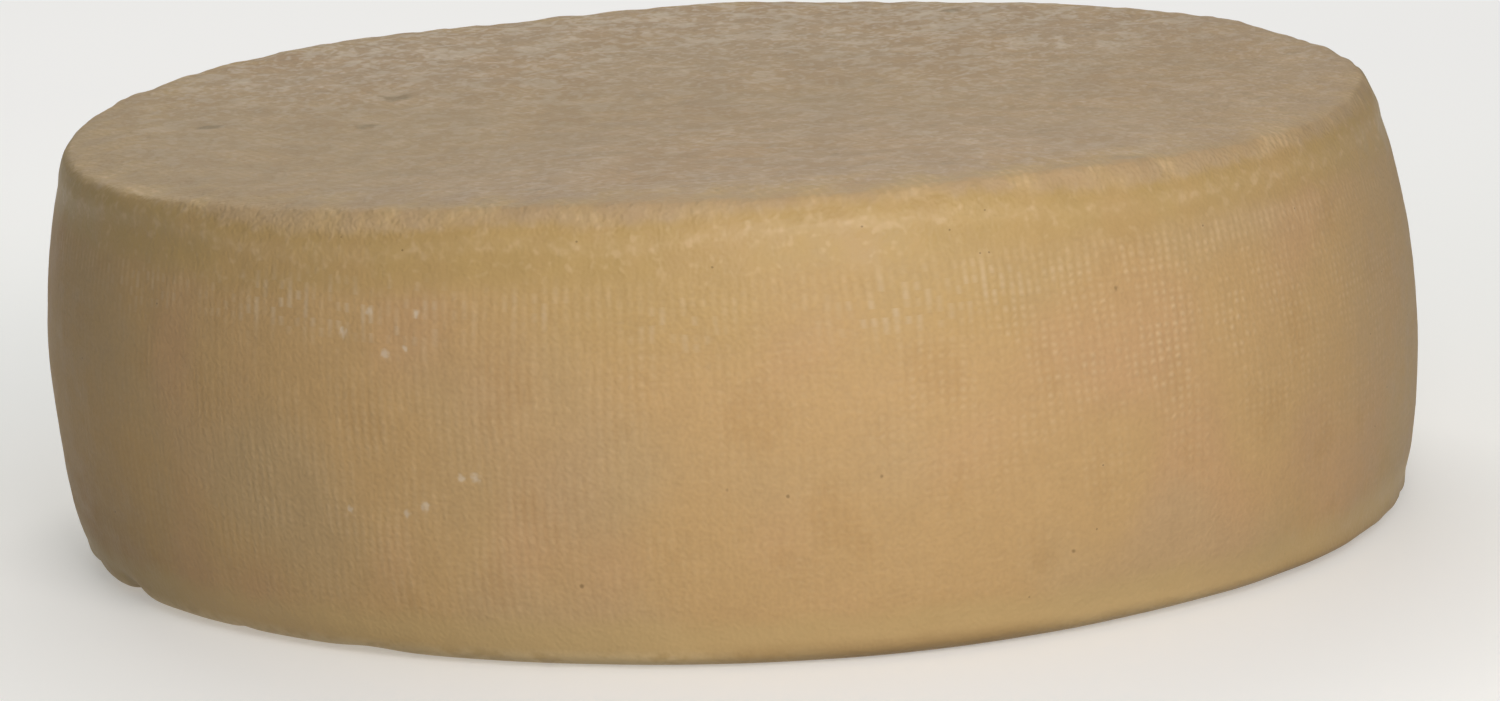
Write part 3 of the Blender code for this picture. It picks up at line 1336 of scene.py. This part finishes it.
    def top_colour(self, recipe: Recipe, cloudy: Clouds, weave: Value) -> Value:
        """Grey-beige bloom in clumps and flecks over tan, with pits and a few dark stains, and painted
        light towards the front.

        Args:
            recipe: the material.
            cloudy: its clouds.
            weave: the grid that the cloth left on the top.

        Returns:
            The colour.
        """
        colour = recipe.blend(cloudy.broad.step(0.40, 0.66) * 0.7, self.top, self.top_tan)
        rim_tan = recipe.from_axis.step(0.128, 0.160) * cloudy.middling.step(0.36, 0.60)
        leftward = (recipe.x * -2.0 - recipe.y * 5.0 + cloudy.wide).step(1.00, 1.50)
        rim_tan = rim_tan * (0.52 + leftward * 0.34 - recipe.x.step(0.090, 0.140) * 0.34)
        colour = recipe.blend(rim_tan, colour, self.band)
        colour = recipe.blend(cloudy.small.step(0.40, 0.26) * 0.40, colour, self.top_pit)
        farther = (recipe.x * -1.6 + recipe.y * 3.0 + cloudy.wide).step(0.10, 0.90)
        thinned = 1.0 - recipe.from_axis.step(0.140, 0.157) * 0.60
        clumps = cloudy.small.step(0.47, 0.66) * (0.19 + farther * 0.38) * thinned
        colour = recipe.blend(clumps, colour, self.top_bloom)
        edge = recipe.from_axis.step(0.1455, 0.1535)
        flecks = cloudy.speck.step(0.48, 0.70) * (0.26 + farther * 0.24 - edge * 0.14)
        colour = recipe.blend(flecks, colour, self.top_bloom)
        warmed = edge * (recipe.x * 2.0 - recipe.y * 4.0 + cloudy.middling).step(0.45, 1.10)
        rolled = recipe.z.step(0.1025, 0.0988)
        colour = recipe.blend((warmed * 0.60).math("MAXIMUM", rolled * 0.62), colour, self.rim)
        hatch = edge * weave.step(0.30, 0.75) * cloudy.speck.step(0.40, 0.62)
        colour = recipe.blend(hatch * 0.20, colour, self.nub)
        # Painted light: lighter towards the key lamp at the front right, and lighter still on the rolled
        # rim at the front left.
        lit_towards_key = (recipe.x * 1.5 - recipe.y * 2.5 + cloudy.wide).step(0.40, 1.10)
        lighter = 0.97 + weave * 0.09 + lit_towards_key * 0.09 + (cloudy.middling - 0.5) * 0.18
        lit_left_rim = recipe.from_axis.step(0.1515, 0.1565) * recipe.x.step(-0.020, -0.090)
        lighter = lighter + lit_left_rim * recipe.y.step(0.00, -0.08) * 0.15
        colour = recipe.tint(colour, lighter)
        placed = [((stain.x, stain.y, 0.0), stain.size) for stain in self.stains]
        away = recipe.nearest(recipe.vector(recipe.x, recipe.y), placed)
        stained = (away + (cloudy.small - 0.5) * 2.4).step(1.3, 0.2)
        return recipe.blend(stained * self.stain_strength, colour, self.stain)

    def flecks(self, recipe: Recipe, cloudy: Clouds, marks: tuple[Fleck, ...], girth: float) -> Value:
        """Small marks at their places on the side.

        Args:
            recipe: the material.
            cloudy: its clouds.
            marks: the marks.
            girth: the wheel's radius.

        Returns:
            1 on a mark, with a soft and ragged edge, and 0 between the marks.
        """
        placed = []
        for mark in marks:
            bearing = FRONT + math.radians(mark.turn_from_front)
            middle = (girth * math.cos(bearing), girth * math.sin(bearing), mark.height)
            placed.append((middle, mark.size))
        ragged = (cloudy.fine - 0.5) * 1.2
        return (recipe.nearest(recipe.outward(girth), placed) + ragged).step(1.25, 0.15)

    def grain(self, cloudy: Clouds, top: Value) -> Value:
        """Height of the rind's fine grain, in metres: rougher on the top."""
        fine = (cloudy.fine - 0.5) * (0.00010 + top * 0.00012)
        skin = (cloudy.small - 0.5) * (0.00022 + top * 0.00040)
        return fine + skin + (cloudy.speck - 0.5) * (0.00006 + top * 0.00020)


@dataclass(frozen=True)
class Clouds:
    """The clouds that all the rind's patterns share, from the broadest to the finest.

    The three broad ones are masks on the mesh, and the others are noises.
    """

    broad: Value
    wide: Value
    middling: Value
    small: Value
    speck: Value
    fine: Value

    @classmethod
    def of(cls, recipe: Recipe) -> Clouds:
        """Put the clouds into a recipe."""
        drawn_out = recipe.vector(recipe.y * 0.70, recipe.z, recipe.x)
        return cls(broad=recipe.mask(Mark.BROAD),
                   wide=recipe.mask(Mark.WIDE),
                   middling=recipe.mask(Mark.MIDDLING),
                   small=recipe.noise(0.0058, 2.0, 0.64, drawn_out),
                   speck=recipe.noise(0.0024, 1.0, 0.6, drawn_out),
                   fine=recipe.noise(0.0009, 0.0, 0.5))


# ---------------------------------------------------------------- the wheel


@dataclass
class CheeseWheel:
    """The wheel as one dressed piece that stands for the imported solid."""

    node: str = "cheese_wheel"
    slot: str = "rind"
    finish: RindFinish = RindFinish()

    def build(self) -> bpy.types.Object:
        """Model the rind, dress it, and set it in the frame.

        Returns:
            The finished piece.
        """
        low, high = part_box(self.node)
        barrel = Barrel.from_box(low, high)
        piece = Rind(barrel).build()
        piece.data.materials.clear()
        piece.data.materials.append(self.finish.build(barrel.width / 2))
        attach(piece, "root")
        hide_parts(self.node)
        log.info("%s: %d faces", piece.name, len(piece.data.polygons))
        return piece


# ---------------------------------------------------------------- studio and camera


@dataclass(frozen=True)
class Lamp:
    """A soft rectangular lamp that points at the middle of the wheel."""

    name: str
    counted_from: Side
    turn: float
    rise: float
    away: float
    width: float
    tall: float
    power: float
    colour: Colour

    def build(self, aim: Vector) -> bpy.types.Object:
        """Hang the lamp.

        Args:
            aim: the point that it lights.

        Returns:
            The lamp.
        """
        light = bpy.data.lights.new(self.name, "AREA")
        light.shape = "RECTANGLE"
        light.size = self.width
        light.size_y = self.tall
        light.energy = self.power
        light.color = self.colour
        bearing = math.radians(self.turn + self.counted_from.value)
        rise = math.radians(self.rise)
        back = Vector((math.sin(bearing) * math.cos(rise),
                       -math.cos(bearing) * math.cos(rise), math.sin(rise)))
        lamp = bpy.data.objects.new(self.name, light)
        lamp.location = aim + back * self.away
        lamp.rotation_mode = "QUATERNION"
        lamp.rotation_quaternion = back.to_track_quat("Z", "Y")
        lamp.visible_camera = False
        bpy.context.scene.collection.objects.link(lamp)
        log.info("lamp %s hung", self.name)
        return lamp


@dataclass(frozen=True)
class Studio:
    """A pale floor that runs into a pale round backdrop, a soft sky and soft lamps.

    The floor and the backdrop each have a paleness or a glow, from 0 to 1.
    """

    aim: Vector
    floor_radius: float = 7.0
    floor_drop: float = 0.0002
    backdrop_height: float = 5.0
    backdrop_sunk: float = 0.01
    backdrop_inset: float = 0.995
    round_sides: int = 96
    floor_near: Limits = (0.80, 0.30)
    floor_far: Limits = (0.20, 0.68)
    floor_reach: Limits = (0.26, 0.80)
    backdrop_glow: float = 0.78
    sky_colour: Colour = (0.80, 0.91, 1.00)
    sky_strength: float = 0.26
    ground_colour: Colour = (1.00, 0.96, 0.84)
    ground_strength: float = 0.29
    horizon: Limits = (-0.15, 0.25)
    lamps: tuple[Lamp, ...] = (
        Lamp("key", Side.FRONT, 15.0, 20.0, 0.90, 0.50, 0.40, 4.6, (1.0, 0.93, 0.88)),
        Lamp("back", Side.BACK, 8.0, 42.0, 1.40, 1.10, 0.70, 8.4, (1.0, 0.96, 0.90)),
    )

    def build(self) -> None:
        """Set up the floor, the backdrop, the sky and the lamps."""
        self.floor()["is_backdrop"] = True
        self.backdrop()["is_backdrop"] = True
        self.sky()
        for lamp in self.lamps:
            lamp.build(self.aim)
        bpy.context.scene.view_settings.view_transform = "Standard"

    def floor(self) -> bpy.types.Object:
        """A round pale floor, which casts no light back on the wheel."""
        deselect_everything()
        bpy.ops.mesh.primitive_circle_add(vertices=self.round_sides, radius=self.floor_radius,
                                          fill_type="NGON", location=(0, 0, 0))
        floor = bpy.context.object
        floor.name = "floor"
        floor.location.z = -self.floor_drop
        floor.data.materials.append(floor_paint(self.floor_near, self.floor_far, self.floor_reach))
        floor.visible_diffuse = False
        return floor

    def backdrop(self) -> bpy.types.Object:
        """A pale round wall behind the floor's edge, which lets the sky's light through."""
        deselect_everything()
        middle = self.backdrop_height / 2 - self.backdrop_sunk
        bpy.ops.mesh.primitive_cylinder_add(vertices=self.round_sides,
                                            radius=self.floor_radius * self.backdrop_inset,
                                            depth=self.backdrop_height, end_fill_type="NOTHING",
                                            location=(0, 0, middle))
        wall = bpy.context.object
        wall.name = "backdrop"
        wall.data.materials.append(glowing_paint("backdrop", self.backdrop_glow))
        wall.visible_diffuse = False
        wall.visible_glossy = False
        wall.visible_shadow = False
        return wall

    def sky(self) -> None:
        """Cool soft light from above, and warmer light from below."""
        world = bpy.data.worlds.new("studio")
        world.use_nodes = True
        tree = world.node_tree
        place = tree.nodes.new("ShaderNodeTexCoord")
        apart = tree.nodes.new("ShaderNodeSeparateXYZ")
        rise = tree.nodes.new("ShaderNodeMapRange")
        rise.inputs["From Min"].default_value = self.horizon[0]
        rise.inputs["From Max"].default_value = self.horizon[1]
        mix = tree.nodes.new("ShaderNodeMix")
        mix.data_type = "RGBA"
        below, above = mix.inputs[6], mix.inputs[7]
        below.default_value = (*(part * self.ground_strength for part in self.ground_colour), 1.0)
        above.default_value = (*(part * self.sky_strength for part in self.sky_colour), 1.0)
        tree.links.new(place.outputs["Generated"], apart.inputs[0])
        tree.links.new(apart.outputs["Z"], rise.inputs["Value"])
        tree.links.new(rise.outputs[0], mix.inputs[0])
        tree.links.new(mix.outputs[2], tree.nodes["Background"].inputs["Color"])
        bpy.context.scene.world = world


def glowing_paint(name: str, glow: float) -> bpy.types.Material:
    """A paint for the stage that only gives off an even light.

    Args:
        name: the paint's name.
        glow: how strong its light is.

    Returns:
        The paint.
    """
    recipe = Recipe(name)
    return recipe.end_in(recipe.node("ShaderNodeEmission", {},
                                     {"Color": (1.0, 0.99, 0.97), "Strength": glow}))


def floor_paint(near: Limits, far: Limits, reach: Limits) -> bpy.types.Material:
    """A matt pale paint that glows a little, and more so away from the lamps' pools.

    Args:
        near: its paleness and its glow around the wheel.
        far: the same far from the wheel.
        reach: the distances between which the one turns into the other.

    Returns:
        The paint.
    """
    near_tint, far_tint = (1.0, 0.99, 0.96), (1.0, 0.99, 0.97)
    recipe = Recipe("floor")
    share = recipe.from_axis.step(*reach)
    shaders = []
    for kind, close, distant in zip(("ShaderNodeBsdfDiffuse", "ShaderNodeEmission"), near, far):
        colour = recipe.blend(share, tuple(close * part for part in near_tint),
                              tuple(distant * part for part in far_tint))
        shaders.append(Value(recipe, recipe.node(kind, {}, {"Color": colour}).outputs[0]))
    return recipe.end_in(recipe.node("ShaderNodeAddShader", {}, dict(enumerate(shaders))))


@dataclass(frozen=True)
class Viewpoint:
    """The camera: low in front of the wheel, a little tilted, with a long lens."""

    distance: float = 1.30
    rise: float = math.radians(10.96)
    tilt: float = math.radians(2.70)
    lens: float = 128.1
    target_height_share: float = 0.4873
    aim_right: float = 0.0039
    aim_down: float = 0.0119
    sensor: float = 36.0
    sight: float = 100.0

    def build(self, low: Vector, high: Vector) -> bpy.types.Object:
        """Set the camera up.

        Args:
            low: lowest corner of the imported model's box.
            high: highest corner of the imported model's box.

        Returns:
            The camera.
        """
        middle = (low + high) / 2
        target = Vector((middle.x, middle.y, low.z + (high.z - low.z) * self.target_height_share))
        right = Vector((1.0, 0.0, 0.0))
        up = Vector((0.0, math.sin(self.rise), math.cos(self.rise)))
        back = right.cross(up)
        place = target + back * self.distance
        aim = target + right * self.aim_right - up * self.aim_down
        back = (place - aim).normalized()
        right = up.cross(back).normalized()
        up = back.cross(right)
        tilted_up = up * math.cos(self.tilt) + right * math.sin(self.tilt)
        tilted_right = right * math.cos(self.tilt) - up * math.sin(self.tilt)
        data = bpy.data.cameras.new("camera")
        data.lens = self.lens
        data.sensor_width = self.sensor
        data.clip_end = self.sight
        camera = bpy.data.objects.new("camera", data)
        turned = Matrix((tilted_right, tilted_up, back)).transposed().to_4x4()
        camera.matrix_world = Matrix.Translation(place) @ turned
        bpy.context.scene.collection.objects.link(camera)
        bpy.context.scene.camera = camera
        log.info("camera %.2f m away", self.distance)
        return camera


def main() -> None:
    """Build the wheel, the studio and the camera, in that order."""
    logging.basicConfig(level=logging.INFO, format="%(name)s: %(message)s")
    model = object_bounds()
    CheeseWheel().build()
    low, high = model
    Studio(aim=(low + high) / 2).build()
    Viewpoint().build(low, high)


if __name__ == "__main__":
    main()
